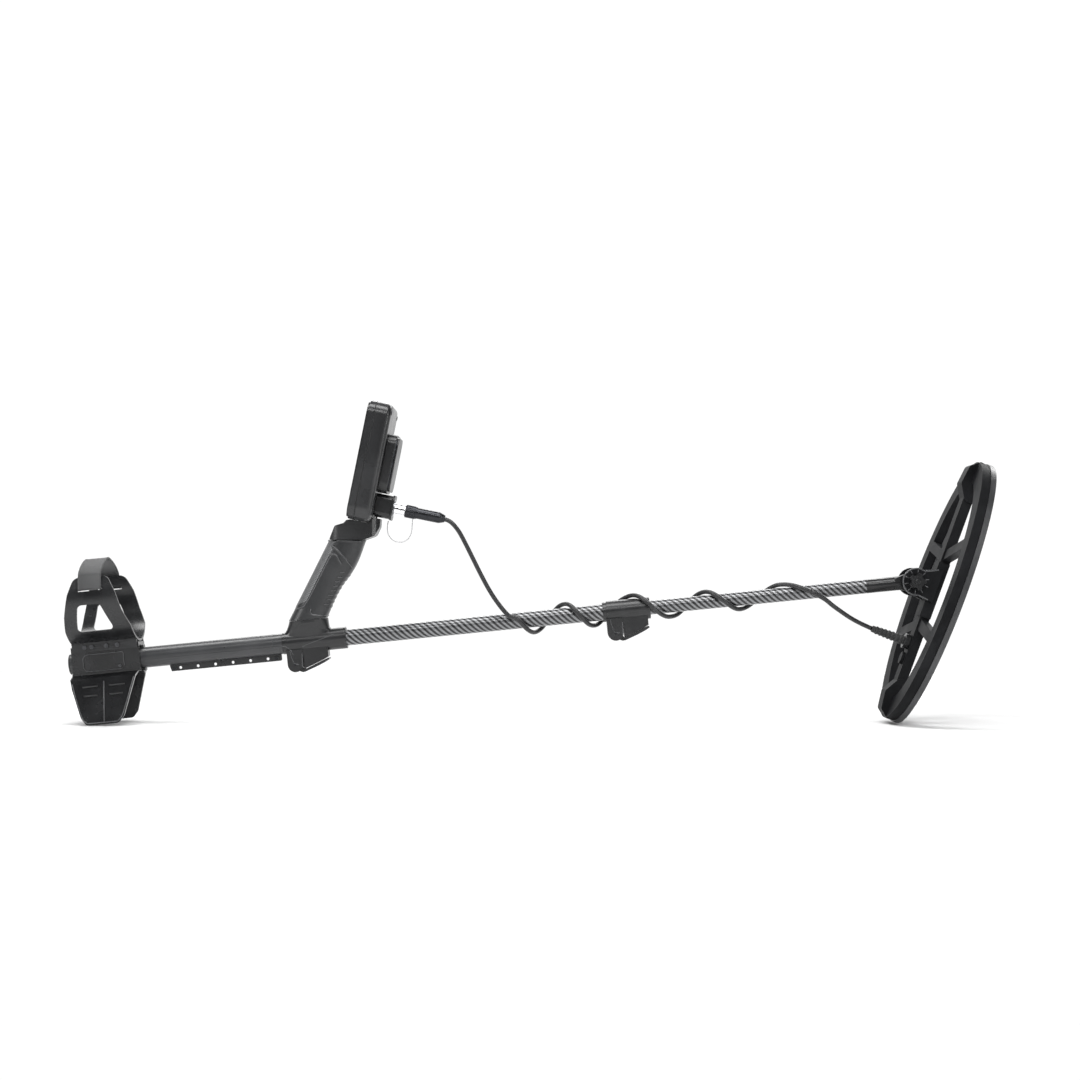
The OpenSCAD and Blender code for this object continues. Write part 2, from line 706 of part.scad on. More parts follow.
// The bars stand clear of the ground; the ring alone carries the skid cover
bar_h = 7;
cover_top = 6.3;
nose = [
  [-151, 14], [-143, 24], [-122, 26.5], [-104, 16], [-104, cover_top], [-150, cover_top]
];

module coil_shell() color(dark) at_coil() difference() {
  union() {
    translate([0, 0, 2]) linear_extrude(rim_h - 2) coil_ring(0);
    translate([0, 0, bar_h]) linear_extrude(rim_h - bar_h) coil_bars();
    translate([-124, -10, bar_h]) cube([248, 20, rim_h + 2 - bar_h]);
    translate([-32, -13, bar_h]) cube([64, 26, 19.5 - bar_h]);
    for (turn = [0, 180]) rotate([0, 0, turn]) along_y(-12, 12) polygon(rounded(nose, [3, 5, 5, 8, 1, 1]));
    both_sides() along_y(ear_in, ear_out) polygon(concat(
      [[pivot_a - 15.5, 12]],
      [for (i = [0:16]) let (a = 205 - 14 * i)
        [pivot_a + 15.5 * cos(a), pivot_h + 15.5 * sin(a)]],
      [[pivot_a + 22, 12]]
    ));
    translate([-82, 0, bar_h]) cylinder(h = 14.5, r = 7);
  }
  pin(pivot_a, pivot_h, -20, 20, 3.05);
  translate([0, 0, 1.9]) linear_extrude(8.4) winding_ring(3.2);
  translate([gland_a, 0, 8]) cylinder(h = 30, r = 5.1);
}

// The windings lie in a channel on the underside of the rim
module winding_ring(r) difference() {
  polygon(ellipse(coil_l / 2 - 13 + r, coil_w / 2 - 13 + r));
  polygon(ellipse(coil_l / 2 - 13 - r, coil_w / 2 - 13 - r));
}
module coil_windings() color("#a5562c") at_coil()
  translate([0, 0, 3]) linear_extrude(6) winding_ring(2.8);

module skid_cover() color("#2f3032") at_coil() difference() {
  linear_extrude(6) coil_ring(1.2);
  translate([0, 0, 1.9]) linear_extrude(9) coil_ring(0.08);
}

module cable_gland() color("#5b5d60") at_coil() translate([gland_a, 0, 0]) difference() {
  union() {
    translate([0, 0, 8.1]) cylinder(h = 12, r = 5);
    translate([0, 0, rim_h + 2.1]) cylinder(h = relief_h[0] - rim_h - 2.1, r = 8.5);
  }
  translate([0, 0, 12]) cylinder(h = 20, r = 3.1);
}

module strain_relief() color(dark) at_coil() translate([gland_a, 0, 0]) {
  translate([0, 0, 12.2]) cylinder(h = 12.6, r = 3.05);
  translate([0, 0, relief_h[0] + 0.05]) cylinder(h = relief_h[1] - relief_h[0] - 0.05, r1 = 5, r2 = 3.7);
  for (i = [0:6]) translate([0, 0, relief_h[0] + 3 + 4.6 * i]) cylinder(h = 2.2, r = 5.6 - 0.18 * i);
}

module knuckle_washers() color("#0f1011") at_coil() both_sides() difference() {
  pin(pivot_a, pivot_h, 8.8, 10.9, 11);
  pin(pivot_a, pivot_h, 8, 12, 3.1);
}

module coil_bolt() color(dark) at_coil() {
  pin(pivot_a, pivot_h, -25, 16.2, 3);
  pin(pivot_a, pivot_h, 16.15, 20.5, 8);
}

// A lobed hand nut on the near end of the bolt
module coil_nut() color(dark) at_coil() difference() {
  union() {
    pin(pivot_a, pivot_h, -24, -16.3, 7);
    for (i = [0:4]) pin(pivot_a + 7 * cos(72 * i), pivot_h + 7 * sin(72 * i), -23, -16.3, 2.8);
  }
  pin(pivot_a, pivot_h, -30, -10, 3.05);
}

// --- Coil cable ---

free_start = [
  pod_x + plug_s[3] * cos(pod_lean) + plug_z * sin(pod_lean),
  0,
  pod_z - plug_s[3] * sin(pod_lean) + plug_z * cos(pod_lean)
];
module cable_free() color(dark)
  cord(concat([free_start], free_route, [first_wrap]), [plug_way, join_way], cable_d, 8);
module cable_wraps() color(dark) cord(wrap_route, [join_way, leave_way], cable_d, 8);
module cable_tail() color(dark)
  cord(concat([last_wrap], tail_route, [relief_tip]), [leave_way, relief_way], cable_d, 8);

rear_tube();
rear_tube_end_cap();
accessory_rail();
rail_screws();
handle_frame();
grip_rubber();
grip_back_insert();
neck_collar();
neck_screws();
rear_lock_pin();
rear_lock_pad();
rear_lock_lever();
pod_front_cover();
pod_back_shell();
pod_seal();
display_window();
lcd_panel();
main_board();
battery_cell();
battery_cover();
speaker();
keypad_mat();
key_power();
key_menu();
key_minus();
key_plus();
key_pinpoint();
pod_screws();
socket_housing();
coil_socket();
plug_barrel();
plug_coupling_nut();
plug_backshell();
cap_tether();
armrest_cuff();
armrest_stand();
armrest_screws();
armrest_clamp_pads();
arm_strap();
middle_tube();
middle_tube_bush();
front_lock_body();
front_lock_pin();
front_lock_pad();
front_lock_lever();
lower_tube();
lower_tube_bush();
lower_end_fitting();
knuckle_washers();
coil_bolt();
coil_nut();
coil_shell();
coil_windings();
skid_cover();
cable_gland();
strain_relief();
cable_free();
cable_wraps();
cable_tail();
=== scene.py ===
import json
import math

import bmesh
import bpy
from mathutils import Matrix, Vector
from mathutils.bvhtree import BVHTree

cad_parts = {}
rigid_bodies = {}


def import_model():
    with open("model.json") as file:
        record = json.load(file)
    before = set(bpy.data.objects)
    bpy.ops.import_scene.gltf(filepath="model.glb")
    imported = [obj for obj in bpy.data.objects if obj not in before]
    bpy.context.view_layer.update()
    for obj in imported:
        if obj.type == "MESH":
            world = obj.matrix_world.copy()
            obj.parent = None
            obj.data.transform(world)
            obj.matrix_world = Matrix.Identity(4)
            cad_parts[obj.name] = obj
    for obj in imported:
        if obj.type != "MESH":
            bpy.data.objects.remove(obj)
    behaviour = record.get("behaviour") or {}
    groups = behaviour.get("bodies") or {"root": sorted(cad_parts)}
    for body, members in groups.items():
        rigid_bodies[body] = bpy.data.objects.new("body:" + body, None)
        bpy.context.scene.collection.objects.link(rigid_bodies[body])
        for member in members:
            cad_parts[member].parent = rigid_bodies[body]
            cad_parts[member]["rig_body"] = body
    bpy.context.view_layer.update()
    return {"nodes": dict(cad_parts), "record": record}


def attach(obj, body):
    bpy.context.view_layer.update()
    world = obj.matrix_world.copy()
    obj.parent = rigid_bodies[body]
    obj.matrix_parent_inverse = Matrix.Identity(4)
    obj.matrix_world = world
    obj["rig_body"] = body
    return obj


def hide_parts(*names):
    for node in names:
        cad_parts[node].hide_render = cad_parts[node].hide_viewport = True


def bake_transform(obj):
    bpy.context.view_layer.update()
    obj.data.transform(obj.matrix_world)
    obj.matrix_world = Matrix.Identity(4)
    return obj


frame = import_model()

# Lengths below are millimetres in named shaft, box and coil frames; MM turns them into metres.
MM = 0.001
nodes = frame["nodes"]
record = frame["record"]
joints = {j["name"]: j for j in record["behaviour"]["joints"]}


# ---------------------------------------------------------------- frames

def frame_at(origin, x_axis, z_axis):
    """A 4x4 whose columns are the axes of a part's own frame, in metres."""
    x, z = Vector(x_axis).normalized(), Vector(z_axis).normalized()
    y = z.cross(x)
    m = Matrix((x, y, z)).transposed().to_4x4()
    m.translation = Vector(origin)
    return m


PIVOT = Vector(joints["coil_tilt"]["pos_m"])
AXIS = Vector(joints["lower_slide"]["axis"]).normalized()
PIVOT_S = 940
SHAFT = frame_at(PIVOT - AXIS * PIVOT_S * MM, AXIS, (-AXIS.z, 0, AXIS.x))

PLUG_AXIS = Vector(joints["plug_nut_turn"]["axis"]).normalized()
PLUG_TO_NUT = 58
PLUG = frame_at(
    Vector(joints["plug_nut_turn"]["pos_m"]) - PLUG_AXIS * PLUG_TO_NUT * MM,
    PLUG_AXIS,
    (-PLUG_AXIS.z, 0, PLUG_AXIS.x),
)
PLUG_DROP = 45
POD = PLUG @ Matrix.Translation((0, 0, PLUG_DROP * MM))

UNDERSIDE = next(m for m in record["mounts"] if m["name"] == "skid_face")
COIL_UP = -Vector(UNDERSIDE["axis"]).normalized()
COIL_ALONG = Vector((COIL_UP.z, 0, -COIL_UP.x))
PIVOT_A, PIVOT_H = 2, 36
COIL = frame_at(PIVOT - COIL_ALONG * PIVOT_A * MM - COIL_UP * PIVOT_H * MM, COIL_ALONG, COIL_UP)

GRIP_LEAN = math.radians(32.3)
GRIP = SHAFT @ Matrix.Translation((0.268, 0, 0.027)) @ Matrix.Rotation(GRIP_LEAN, 4, "Y")


def put(m, x, y, z):
    return m @ Vector((x * MM, y * MM, z * MM))


# ---------------------------------------------------------------- materials

def new_material(name):
    m = bpy.data.materials.new(name)
    m.use_nodes = True
    m.node_tree.nodes.clear()
    return m, m.node_tree


def node(tree, kind, inputs=None, **settings):
    n = tree.nodes.new(kind)
    for key, value in settings.items():
        setattr(n, key, value)
    for key, value in (inputs or {}).items():
        if isinstance(value, bpy.types.NodeSocket):
            tree.links.new(value, n.inputs[key])
        else:
            n.inputs[key].default_value = value
    return n


def math_node(tree, operation, a, b=0.0):
    return node(tree, "ShaderNodeMath", {0: a, 1: b}, operation=operation).outputs[0]


def ramp(tree, value, low, high, a=0.0, b=1.0):
    """value mapped from a..b to the range low..high, clamped."""
    return node(
        tree, "ShaderNodeMapRange", {0: value, 1: a, 2: b, 3: low, 4: high}
    ).outputs[0]


def colour_between(tree, value, low, high):
    n = node(tree, "ShaderNodeMix", {0: value}, data_type="RGBA")
    n.inputs[6].default_value = (*low, 1)
    n.inputs[7].default_value = (*high, 1)
    return n.outputs[2]


def noise(tree, coords, scale, detail=3.0, rough=0.5):
    n = node(tree, "ShaderNodeTexNoise", {"Scale": scale, "Detail": detail, "Roughness": rough})
    tree.links.new(coords, n.inputs["Vector"])
    return n.outputs[0]


def object_coords(tree):
    return node(tree, "ShaderNodeTexCoord").outputs["Object"]


def finish_material(m, tree, shader):
    node(tree, "ShaderNodeOutputMaterial", {"Surface": shader.outputs[0]})
    return m


def moulded(name, dark, light, rough=(0.26, 0.38), bump=0.12, coat=0.0, specular=0.5):
    """Injection-moulded plastic: fine grain, faint blotches, paler along sharp edges."""
    m, tree = new_material(name)
    coords = object_coords(tree)
    fine = noise(tree, coords, 1400.0, 2.0)
    broad = noise(tree, coords, 28.0, 4.0)
    edge = node(tree, "ShaderNodeNewGeometry").outputs["Pointiness"]
    # Paler along sharp edges, where pointiness is high
    edge_paling = ramp(tree, edge, 0.0, 0.55, 0.51, 0.62)
    blotch = ramp(tree, broad, 0.0, 0.45, 0.3, 0.7)
    tone = math_node(tree, "MAXIMUM", edge_paling, blotch)
    shader = node(tree, "ShaderNodeBsdfPrincipled", {
        "Base Color": colour_between(tree, tone, dark, light),
        "Roughness": ramp(tree, broad, rough[0], rough[1], 0.3, 0.7),
        "Specular IOR Level": specular,
        "Coat Weight": coat,
        "Coat Roughness": 0.25,
        "Normal": node(tree, "ShaderNodeBump", {
            "Strength": bump, "Distance": 0.0002, "Height": fine}).outputs[0],
    })
    return finish_material(m, tree, shader)


def rubbery(name, dark, light, rough=0.6):
    """Soft-touch rubber: matt, with a fine grain and a little sheen."""
    m, tree = new_material(name)
    coords = object_coords(tree)
    fine = noise(tree, coords, 900.0, 3.0)
    broad = noise(tree, coords, 40.0, 3.0)
    shader = node(tree, "ShaderNodeBsdfPrincipled", {
        "Base Color": colour_between(tree, broad, dark, light),
        "Roughness": ramp(tree, fine, rough - 0.08, rough + 0.08, 0.3, 0.7),
        "Sheen Weight": 0.08,
        "Normal": node(tree, "ShaderNodeBump", {
            "Strength": 0.2, "Distance": 0.0002, "Height": fine}).outputs[0],
    })
    return finish_material(m, tree, shader)


def metal(name, colour, rough=0.2, scratch=0.1):
    """Turned or plated metal with fine lines."""
    m, tree = new_material(name)
    coords = node(tree, "ShaderNodeMapping", {"Vector": object_coords(tree), "Scale": (40.0, 900.0, 900.0)})
    lines = noise(tree, coords.outputs[0], 1.0, 4.0)
    shader = node(tree, "ShaderNodeBsdfPrincipled", {
        "Base Color": colour_between(tree, lines, tuple(0.86 * c for c in colour), colour),
        "Metallic": 1.0,
        "Roughness": ramp(tree, lines, max(0.03, rough - 0.06), rough + 0.06, 0.3, 0.7),
        "Normal": node(tree, "ShaderNodeBump", {
            "Strength": scratch, "Distance": 0.0001, "Height": lines}).outputs[0],
    })
    return finish_material(m, tree, shader)


def shaft_coords(tree):
    """Distance along the shaft and round it, both in millimetres."""
    def times(value, factor):
        return math_node(tree, "MULTIPLY", value, factor)

    parts = node(tree, "ShaderNodeSeparateXYZ", {0: object_coords(tree)}).outputs
    dx = math_node(tree, "SUBTRACT", parts[0], SHAFT.translation.x)
    dz = math_node(tree, "SUBTRACT", parts[2], SHAFT.translation.z)
    along = math_node(tree, "ADD", times(dx, AXIS.x), times(dz, AXIS.z))
    up = math_node(tree, "SUBTRACT", times(dz, AXIS.x), times(dx, AXIS.z))
    turn = math_node(tree, "ARCTAN2", parts[1], up)
    return math_node(tree, "MULTIPLY", along, 1000.0), turn


def carbon(name, radius):
    """Twill carbon cloth under clear lacquer: slanted ribs, crossed by fine tows."""
    m, tree = new_material(name)
    along, turn = shaft_coords(tree)
    around = math_node(tree, "MULTIPLY", turn, radius)
    pitch = 6.4
    # Whole numbers of ribs go round the tube, so that no seam shows
    slant = round(2 * math.pi * radius / pitch * 0.95) * pitch / (2 * math.pi * radius)
    rib_at = math_node(tree, "DIVIDE", math_node(
        tree, "ADD", along, math_node(tree, "MULTIPLY", around, slant)), pitch)
    rib = math_node(tree, "SINE", math_node(tree, "MULTIPLY", rib_at, 2 * math.pi))
    cross_at = math_node(tree, "SUBTRACT", along, math_node(tree, "MULTIPLY", around, 1.0))
    tow = math_node(tree, "SINE", math_node(tree, "MULTIPLY", cross_at, 2 * math.pi / 1.7))
    shade = ramp(tree, rib, 0.0, 1.0, -0.35, 0.55)
    fleck = ramp(tree, tow, 0.75, 1.0, -1.0, 1.0)
    tone = math_node(tree, "MULTIPLY", shade, fleck)
    height = math_node(
        tree, "ADD", math_node(tree, "MULTIPLY", rib, 0.8), math_node(tree, "MULTIPLY", tow, 0.2))
    shader = node(tree, "ShaderNodeBsdfPrincipled", {
        "Base Color": colour_between(tree, tone, (0.008, 0.008, 0.009), (0.26, 0.265, 0.275)),
        "Metallic": 0.35,
        "Roughness": ramp(tree, rib, 0.5, 0.3, -1.0, 1.0),
        "Coat Weight": 0.5,
        "Coat Roughness": 0.12,
        "Normal": node(tree, "ShaderNodeBump", {
            "Strength": 0.25, "Distance": 0.0003, "Height": height}).outputs[0],
    })
    return finish_material(m, tree, shader)


def webbing(name):
    """Woven nylon tape: ribs across the strap and a herringbone of fine threads."""
    m, tree = new_material(name)
    along, _ = shaft_coords(tree)
    parts = node(tree, "ShaderNodeSeparateXYZ", {0: object_coords(tree)}).outputs
    height_mm = math_node(tree, "MULTIPLY", parts[2], 1000.0)
    side_mm = math_node(tree, "MULTIPLY", parts[1], 1000.0)
    run = math_node(tree, "ADD", height_mm, side_mm)
    weft = math_node(tree, "SINE", math_node(tree, "MULTIPLY", run, 2 * math.pi / 1.3))
    warp = math_node(tree, "SINE", math_node(tree, "MULTIPLY", along, 2 * math.pi / 1.1))
    weave = math_node(tree, "MULTIPLY", weft, warp)
    tone = ramp(tree, weave, 0.0, 1.0, -1.0, 1.0)
    shader = node(tree, "ShaderNodeBsdfPrincipled", {
        "Base Color": colour_between(tree, tone, (0.022, 0.023, 0.024), (0.085, 0.086, 0.088)),
        "Roughness": 0.85,
        "Sheen Weight": 0.3,
        "Sheen Roughness": 0.5,
        "Normal": node(tree, "ShaderNodeBump", {
            "Strength": 0.6, "Distance": 0.0004, "Height": weave}).outputs[0],
    })
    return finish_material(m, tree, shader)


def hatched(name):
    """Pale rubber with the fine slanted ridges of a palm pad."""
    m, tree = new_material(name)
    parts = node(tree, "ShaderNodeSeparateXYZ", {0: object_coords(tree)}).outputs
    slant = math_node(tree, "ADD", math_node(tree, "MULTIPLY", parts[1], 1.4), parts[2])
    wave = math_node(tree, "SINE", math_node(tree, "MULTIPLY", slant, 2 * math.pi / 0.0032))
    crest = ramp(tree, wave, 0.0, 1.0, 0.0, 0.9)
    shader = node(tree, "ShaderNodeBsdfPrincipled", {
        "Base Color": colour_between(tree, crest, (0.13, 0.132, 0.136), (0.05, 0.051, 0.053)),
        "Roughness": 0.42,
        "Normal": node(tree, "ShaderNodeBump", {
            "Strength": 0.5, "Distance": 0.0005, "Height": crest}).outputs[0],
    })
    return finish_material(m, tree, shader)


BLACK, PALE_BLACK = (0.009, 0.0092, 0.0098), (0.036, 0.037, 0.039)
MATERIALS = {
    "moulded_black": moulded("moulded_black", BLACK, PALE_BLACK),
    "armrest_plastic": moulded(
        "armrest_plastic", (0.008, 0.0082, 0.0088), (0.034, 0.035, 0.037), rough=(0.2, 0.3)),
    "case_plastic": moulded(
        "case_plastic", (0.012, 0.0122, 0.013), (0.042, 0.043, 0.045), rough=(0.22, 0.3)),
    "coil_plastic": moulded(
        "coil_plastic", (0.007, 0.0072, 0.0078), (0.026, 0.027, 0.029), rough=(0.45, 0.56), specular=0.05),
    "cover_plastic": moulded(
        "cover_plastic", (0.024, 0.0245, 0.026), (0.085, 0.086, 0.09), rough=(0.3, 0.42)),
    # Paler, glossier plastic for the raised lines along edges and ribs: painted highlights
    "painted_edge_highlight": moulded("painted_edge_highlight", (0.05, 0.051, 0.054), (0.12, 0.122, 0.126), rough=(0.2, 0.3)),
    "grip_rubber": rubbery("grip_rubber", (0.014, 0.0145, 0.0155), (0.03, 0.031, 0.033), rough=0.36),
    # Paler, glossier rubber for the grip's raised lines and rib dashes: painted highlights
    "grip_line_highlight": rubbery("grip_line_highlight", (0.07, 0.071, 0.074), (0.12, 0.122, 0.126), rough=0.3),
    "grip_insert": hatched("grip_insert"),
    "tube_grey": moulded(
        "tube_grey", (0.03, 0.031, 0.033), (0.062, 0.063, 0.066), rough=(0.26, 0.34), bump=0.05),
    "steel": metal("steel", (0.5, 0.51, 0.53), 0.28),
    "chrome": metal("chrome", (0.92, 0.92, 0.93), 0.06, 0.02),
    "socket_metal": metal("socket_metal", (0.5, 0.51, 0.53), 0.24),
    "dark_metal": metal("dark_metal", (0.045, 0.046, 0.05), 0.32),
    "screw_metal": metal("screw_metal", (0.1, 0.102, 0.108), 0.3),
    "seal_rubber": rubbery("seal_rubber", (0.01, 0.0102, 0.0105), (0.03, 0.031, 0.032)),
    "key_rubber": rubbery("key_rubber", (0.07, 0.071, 0.074), (0.11, 0.112, 0.115), rough=0.5),
    "cable_jacket": rubbery("cable_jacket", (0.01, 0.0102, 0.011), (0.024, 0.0245, 0.026), rough=0.36),
    "tether": rubbery("tether", (0.5, 0.5, 0.51), (0.6, 0.6, 0.61), rough=0.4),
    "white_plastic": moulded("white_plastic", (0.6, 0.6, 0.58), (0.75, 0.75, 0.72)),
    "copper": metal("copper", (0.62, 0.3, 0.16), 0.3),
    "circuit_board": moulded("circuit_board", (0.01, 0.06, 0.03), (0.02, 0.12, 0.06)),
    "battery": moulded("battery", (0.12, 0.13, 0.15), (0.2, 0.21, 0.23)),
    "speaker_black": moulded("speaker_black", (0.02, 0.02, 0.02), (0.04, 0.04, 0.04)),
    "webbing": webbing("webbing"),
}
MATERIALS["display"] = moulded(
    "display", (0.02, 0.026, 0.03), (0.03, 0.038, 0.042), rough=(0.1, 0.16), coat=0.6)
LOWER_TUBE_R, MIDDLE_TUBE_R = 7.75, 9.0
CARBON = {
    "middle_tube": carbon("carbon_middle", MIDDLE_TUBE_R),
    "lower_tube": carbon("carbon_lower", LOWER_TUBE_R),
}
SLOT_OF = {s["node"]: s["material_slot"] for s in record["subparts"]}


def display_glass():
    m, tree = new_material("display_glass")
    smear = noise(tree, object_coords(tree), 60.0, 4.0)
    shader = node(tree, "ShaderNodeBsdfPrincipled", {
        "Base Color": colour_between(tree, smear, (0.012, 0.014, 0.016), (0.02, 0.023, 0.026)),
        "Roughness": ramp(tree, smear, 0.04, 0.12, 0.3, 0.7),
        "Coat Weight": 0.6,
        "Coat Roughness": 0.04,
    })
    return finish_material(m, tree, shader)


MATERIALS["display_glass"] = display_glass()


def paint(obj, material):
    obj.data.materials.clear()
    obj.data.materials.append(material)


# Blackened heads and pins, which hardly show against the plastic
BLACK_SCREWS = ("rail_screws", "rear_lock_pin", "front_lock_pin", "pod_screws")


def material_of(name):
    if name in BLACK_SCREWS:
        return MATERIALS["dark_metal"]
    if name == "armrest_screws":
        return MATERIALS["screw_metal"]
    return CARBON.get(name) or MATERIALS[SLOT_OF[name]]


# ---------------------------------------------------------------- mesh helpers

def mesh_object(name, bm, smooth=True):
    mesh = bpy.data.meshes.new(name)
    bmesh.ops.recalc_face_normals(bm, faces=bm.faces)
    bm.to_mesh(mesh)
    bm.free()
    for p in mesh.polygons:
        p.use_smooth = smooth
    obj = bpy.data.objects.new(name, mesh)
    bpy.context.scene.collection.objects.link(obj)
    return obj


def stand_for(obj, name, *others):
    """obj takes the place, body and material of the CAD node called name."""
    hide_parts(name, *others)
    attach(obj, nodes[name]["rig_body"])
    paint(obj, material_of(name))
    return obj


def add_bevel(obj, width, segments=2, angle=28.0):
    b = obj.modifiers.new("edges", "BEVEL")
    b.width = width * MM
    b.segments = segments
    b.limit_method = "ANGLE"
    b.angle_limit = math.radians(angle)
    b.use_clamp_overlap = True
    b.harden_normals = False
    b.miter_outer = "MITER_ARC"


def add_normals(obj):
    w = obj.modifiers.new("normals", "WEIGHTED_NORMAL")
    w.keep_sharp = True
    w.weight = 90


def clean_copy(name, flat_angle=0.6):
    """The node's mesh with its triangles joined into the flat faces they came from."""
    bm = bmesh.new()
    bm.from_mesh(nodes[name].data)
    bmesh.ops.remove_doubles(bm, verts=bm.verts, dist=2e-6)
    bmesh.ops.dissolve_limit(
        bm, angle_limit=math.radians(flat_angle), verts=bm.verts, edges=bm.edges)
    return bm


def refined(name, width=0.6, segments=2, sharp=32.0):
    """A moulded or machined piece: the CAD node's shape with every hard edge rounded."""
    obj = mesh_object(name + "_moulded", clean_copy(name))
    obj.data.set_sharp_from_angle(angle=math.radians(sharp + 20))
    stand_for(obj, name)
    add_bevel(obj, width, segments, sharp)
    add_normals(obj)
    return obj


def smooth_path(points, steps):
    """A Catmull-Rom curve through the points, with steps points to each stretch."""
    p = [2 * points[0] - points[1], *points, 2 * points[-1] - points[-2]]
    out = []
    for i in range(1, len(p) - 2):
        for k in range(steps):
            t = k / steps
            out.append(0.5 * (
                2 * p[i] + (p[i + 1] - p[i - 1]) * t
                + (2 * p[i - 1] - 5 * p[i] + 4 * p[i + 1] - p[i + 2]) * t ** 2
                + (3 * p[i] - p[i - 1] - 3 * p[i + 1] + p[i + 2]) * t ** 3))
    return out + [points[-1]]


def heading(path, i):
    return (path[min(i + 1, len(path) - 1)] - path[max(i - 1, 0)]).normalized()


def tube(name, path, radius, sides=16):
    """A round tube along a path, with flat closed ends."""
    bm = bmesh.new()
    side = Vector((0.1, 1, 0.1))
    rings = []
    for i, point in enumerate(path):
        t = heading(path, i)
        side = (side - side.dot(t) * t).normalized()
        up = t.cross(side)
        rings.append([bm.verts.new(point + radius * (
            math.cos(2 * math.pi * j / sides) * side + math.sin(2 * math.pi * j / sides) * up))
            for j in range(sides)])
    for a, b in zip(rings, rings[1:]):
        for j in range(sides):
            k = (j + 1) % sides
            bm.faces.new((a[j], b[j], b[k], a[k]))
    bm.faces.new(rings[0][::-1])
    bm.faces.new(rings[-1])
    return mesh_object(name, bm)


# ---------------------------------------------------------------- camera

CAMERA_X, CAMERA_AWAY, CAMERA_UP = 0.0105, 2.15, 0.1656
LENS, SENSOR, LIFT = 64.5, 36.0, 0.0315


def make_camera():
    data = bpy.data.cameras.new("camera")
    data.lens = LENS
    data.sensor_width = SENSOR
    data.shift_y = LIFT
    data.clip_end = 20
    camera = bpy.data.objects.new("camera", data)
    camera.location = (CAMERA_X, -CAMERA_AWAY, CAMERA_UP)
    camera.rotation_euler = (math.pi / 2, 0, 0)
    bpy.context.scene.collection.objects.link(camera)
    bpy.context.scene.camera = camera


make_camera()


# ---------------------------------------------------------------- cables

CABLE_D, TETHER_D = 0.005, 0.0012
FREE_ROUTE = [
    (-97, 0, 226.6), (-92, 0, 225.3), (-86, -1, 221), (-79, -2, 212), (-72, -3, 199),
    (-64, -4, 183), (-56, -6, 167), (-48, -8, 152), (-40, -10, 139), (-31, -12, 127),
    (-23, -13, 119),
]
WRAP_MARKS = [
    (496, 70, 13.6), (515, 180, 14.6), (552, 360, 13.4), (581, 540, 13.6), (597, 622, 15.2),
    (628, 720, 15.6), (648, 810, 15), (669, 900, 12), (708, 1080, 11.6), (745, 1260, 11.4),
    (792, 1440, 11.4), (824, 1530, 11.6),
]
RING_TURN = 30
TAIL_ROUTE = [
    (325, -11, 138), (334, -9.5, 131), (344, -7, 124), (354, -4, 117.5), (365, -1.5, 111.5),
]
TETHER_ROUTE = [
    (-158, 0, 224.5), (-159, 0, 218), (-158.5, 0, 211), (-155, 0, 205), (-149.5, 0, 201.6),
    (-143.5, 0, 201), (-138, 0, 203), (-134, 0, 207.5), (-132, 0, 213.5), (-131.4, 0, 220),
    (-131, 0, 226.4),
]
PLUG_END, GLAND_A, RELIEF_TOP = 91, -63, 62


def route(points):
    return [Vector(p) * MM for p in points]


def wrap_path():
    """The wraps: place and turn run on evenly between the marks."""
    out = []
    for (s0, a0, r0), (s1, a1, r1) in zip(WRAP_MARKS, WRAP_MARKS[1:]):
        count = math.ceil((a1 - a0) / RING_TURN)
        for i in range(count):
            f = i / count
            out.append((s0 + (s1 - s0) * f, a0 + (a1 - a0) * f, r0 + (r1 - r0) * f))
    out.append(WRAP_MARKS[-1])
    return [put(SHAFT, s, -r * math.sin(math.radians(a)), r * math.cos(math.radians(a)))
            for s, a, r in out]


def lay_cable(name, node_name, points, end, across=None):
    """One run of the cable.

    across is the way in which a slide carries its far end; an end point squared to it is worked out, but
    nothing uses it.
    """
    path = smooth_path(points, 5)
    piece = tube(name, path, CABLE_D / 2, 16)
    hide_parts(node_name)
    paint(piece, MATERIALS["cable_jacket"])
    start, stop = path[end[0]], path[end[1]]
    if across:
        stop = stop - across * (stop - start).dot(across)
    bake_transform(piece)


wraps = wrap_path()
plug_end = put(PLUG, PLUG_END, 0, 0)
relief_tip = put(COIL, GLAND_A, 0, RELIEF_TOP)
lay_cable("cable_to_shaft", "cable_free", [plug_end, *route(FREE_ROUTE), wraps[0]],
          (6, -4), AXIS)
lay_cable("cable_round_shaft", "cable_wraps", wraps, (30, -30))
lay_cable("cable_to_coil", "cable_tail", [wraps[-1], *route(TAIL_ROUTE), relief_tip],
          (2, -3))


def make_tether():
    path = smooth_path(route(TETHER_ROUTE), 5)
    piece = stand_for(tube("tether_loop", path, TETHER_D / 2, 10), "cap_tether")


make_tether()


# ---------------------------------------------------------------- handle

def superellipse(half_x, half_y, power, n):
    """Points round a rounded outline, starting at +X."""
    out = []
    for i in range(n):
        a = 2 * math.pi * i / n
        c, s = math.cos(a), math.sin(a)
        out.append((
            half_x * math.copysign(abs(c) ** (2 / power), c),
            half_y * math.copysign(abs(s) ** (2 / power), s),
        ))
    return out


def loft(name, rings, subdivide=1):
    """A closed skin through rings of points, all with the same number of points."""
    bm = bmesh.new()
    rows = [[bm.verts.new(p) for p in ring] for ring in rings]
    n = len(rows[0])
    for a, b in zip(rows, rows[1:]):
        for j in range(n):
            k = (j + 1) % n
            bm.faces.new((a[j], a[k], b[k], b[j]))
    bm.faces.new(rows[0][::-1])
    bm.faces.new(rows[-1])
    obj = mesh_object(name, bm)
    if subdivide:
        s = obj.modifiers.new("smooth", "SUBSURF")
        s.levels = s.render_levels = subdivide
    return obj


def bump_at(x, centre, width):
    """1 at centre, falling smoothly to 0 at width away."""
    f = max(0.0, 1 - ((x - centre) / width) ** 2)
    return f * f


